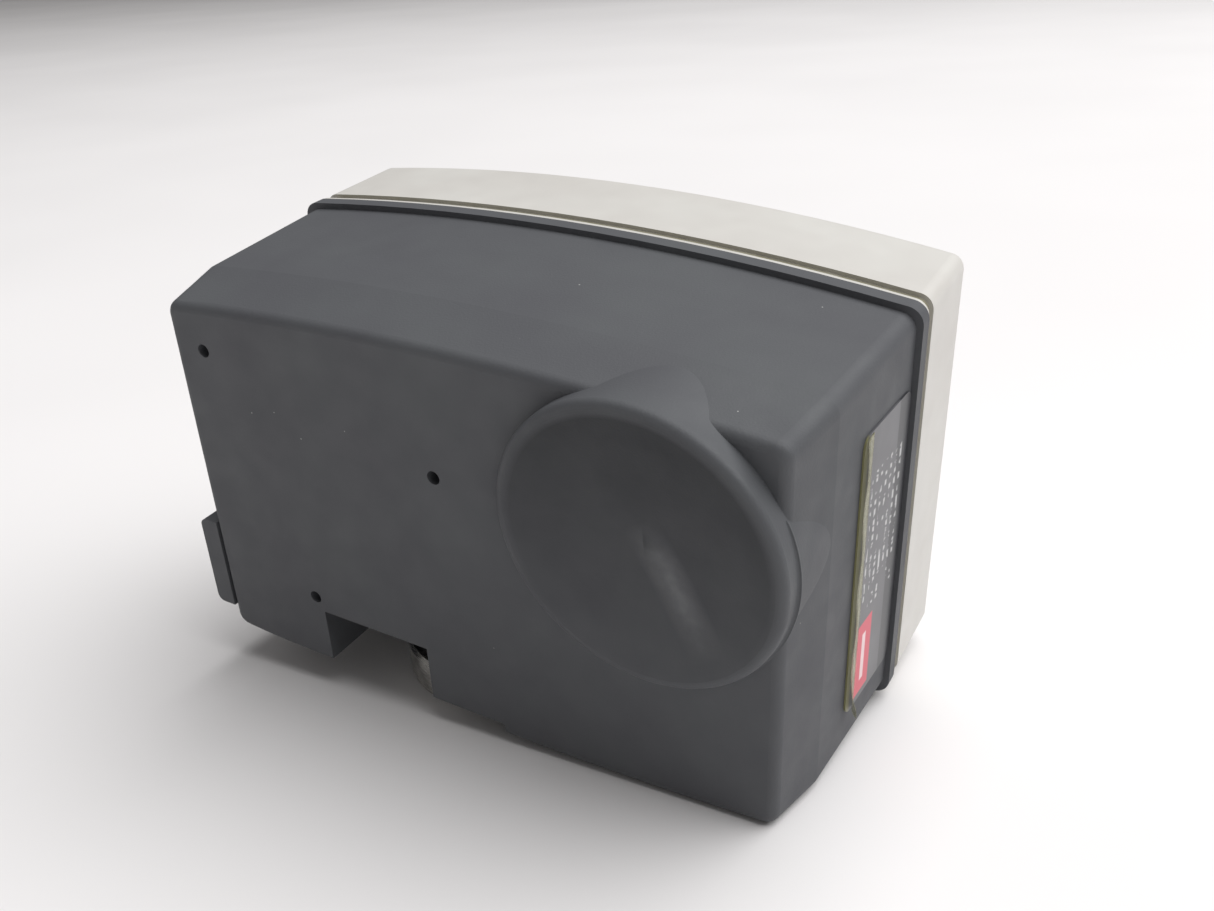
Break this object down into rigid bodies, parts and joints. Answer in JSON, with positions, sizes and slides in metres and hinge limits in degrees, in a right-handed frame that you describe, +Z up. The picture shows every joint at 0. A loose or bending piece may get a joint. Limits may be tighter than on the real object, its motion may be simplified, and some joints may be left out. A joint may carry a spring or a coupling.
{
  "type": "motorised actuator head",
  "caption": "Valve actuator head: graphite housing with a round motor boss, pale front cover, gear train, spindle, circuit board and a mounting nut for a valve neck.",
  "frame": {"origin": "centre of the mounting nut's bottom face, on the valve and spindle axis", "axes": "+Z up along the spindle away from the valve, +Y towards the rear face with the motor boss, -Y towards the front cover, +X towards the cable entry"},
  "size_m": [0.165, 0.0951, 0.1115],
  "materials": {
    "housing_plastic": "fine spark-textured graphite grey moulding",
    "cover_plastic": "smooth warm light grey moulding",
    "black_rubber": "soft matt seal",
    "label_foil": "silver polyester foil under a clear film",
    "plated_steel": "bright zinc plated steel",
    "nickel": "nickel plated, turned",
    "bronze": "sintered bronze",
    "gear_nylon": "natural acetal",
    "coil_wrap": "taped copper winding",
    "ferrite": "ground ferrite",
    "board_green": "solder mask over glass laminate",
    "terminal_plastic": "terminal moulding",
    "black_plastic": "black moulding",
    "capacitor_sleeve": "shrunk blue sleeve",
    "clear_plastic": "clear acrylic light guide and lens",
    "control_grey": "dark grey control moulding"
  },
  "bodies": {
    "casing": {"rear_housing": "housing_plastic", "front_cover": "cover_plastic", "cover_gasket": "black_rubber", "cover_screws": "plated_steel", "rating_label": "label_foil", "mounting_neck": "nickel", "neck_screws": "plated_steel", "spindle_bush": "bronze", "spindle_guide": "black_plastic", "base_plate": "plated_steel", "plate_screws": "plated_steel", "front_gear_plate": "plated_steel", "gear_posts": "plated_steel", "post_nuts": "plated_steel", "bearing_bracket": "plated_steel", "bracket_posts": "plated_steel", "bracket_screws": "plated_steel", "motor_can": "plated_steel", "motor_end_plate": "plated_steel", "motor_coil": "coil_wrap", "motor_bushes": "bronze", "motor_screws": "plated_steel", "circuit_board": "board_green", "board_screws": "plated_steel", "terminal_block": "terminal_plastic", "terminal_screws": "plated_steel", "capacitor": "capacitor_sleeve", "relays": "black_plastic", "status_light": "clear_plastic", "light_guide": "clear_plastic", "end_switches": "black_plastic", "switch_screws": "plated_steel", "button_guide": "gear_nylon", "release_spring": "plated_steel", "cable_grommets": "black_rubber"},
    "rotor": {"motor_rotor": "ferrite", "motor_shaft": "plated_steel", "motor_pinion": "bronze"},
    "first_wheel": {"first_gear": "gear_nylon", "first_arbor": "plated_steel"},
    "second_wheel": {"second_gear": "gear_nylon", "override_shaft": "plated_steel", "override_knob": "control_grey"},
    "output_wheel": {"output_gear": "gear_nylon", "rack_pinion": "plated_steel", "output_shaft": "plated_steel"},
    "spindle": {"drive_spindle": "plated_steel", "stem_coupling": "nickel", "trip_finger": "gear_nylon"},
    "nut": {"mounting_nut": "nickel"},
    "button": {"release_button": "control_grey"},
    "upper_plunger": {"upper_switch_plunger": "control_grey"},
    "lower_plunger": {"lower_switch_plunger": "control_grey"}
  },
  "joints": [
    {"name": "motor_spin", "type": "hinge", "parent": "casing", "child": "rotor", "pos_m": [-0.0607, 0, 0.071], "axis": [0, -1, 0], "range_deg": [0, 5172.5]},
    {"name": "first_wheel_spin", "type": "hinge", "parent": "casing", "child": "first_wheel", "pos_m": [-0.05003, 0, 0.05576], "axis": [0, -1, 0], "range_deg": [-1241.6, 0]},
    {"name": "second_wheel_spin", "type": "hinge", "parent": "casing", "child": "second_wheel", "pos_m": [-0.03729, 0, 0.0761], "axis": [0, -1, 0], "range_deg": [0, 310.5]},
    {"name": "output_spin", "type": "hinge", "parent": "casing", "child": "output_wheel", "pos_m": [-0.012, 0, 0.0565], "axis": [0, -1, 0], "range_deg": [-71.7, 0]},
    {"name": "spindle_stroke", "type": "slide", "parent": "casing", "child": "spindle", "axis": [0, 0, -1], "range_m": [0, 0.01001]},
    {"name": "nut_turn", "type": "hinge", "parent": "casing", "child": "nut", "pos_m": [0, 0, 0], "axis": [0, 0, 1], "continuous": true},
    {"name": "button_press", "type": "slide", "parent": "casing", "child": "button", "axis": [0, 1, 0], "range_m": [0, 0.003], "stiffness_N_per_m": 300},
    {"name": "upper_switch_press", "type": "slide", "parent": "casing", "child": "upper_plunger", "axis": [0, 0, 1], "range_m": [0, 0.0008], "stiffness_N_per_m": 200},
    {"name": "lower_switch_press", "type": "slide", "parent": "casing", "child": "lower_plunger", "axis": [0, 0, -1], "range_m": [0, 0.0008], "stiffness_N_per_m": 200}
  ],
  "couplings": [
    {"joint": "first_wheel_spin", "follows": "motor_spin", "ratio": -0.24},
    {"joint": "second_wheel_spin", "follows": "motor_spin", "ratio": 0.06},
    {"joint": "output_spin", "follows": "motor_spin", "ratio": -0.013846},
    {"joint": "spindle_stroke", "follows": "motor_spin", "m_per_rad": 0.00011077}
  ]
}
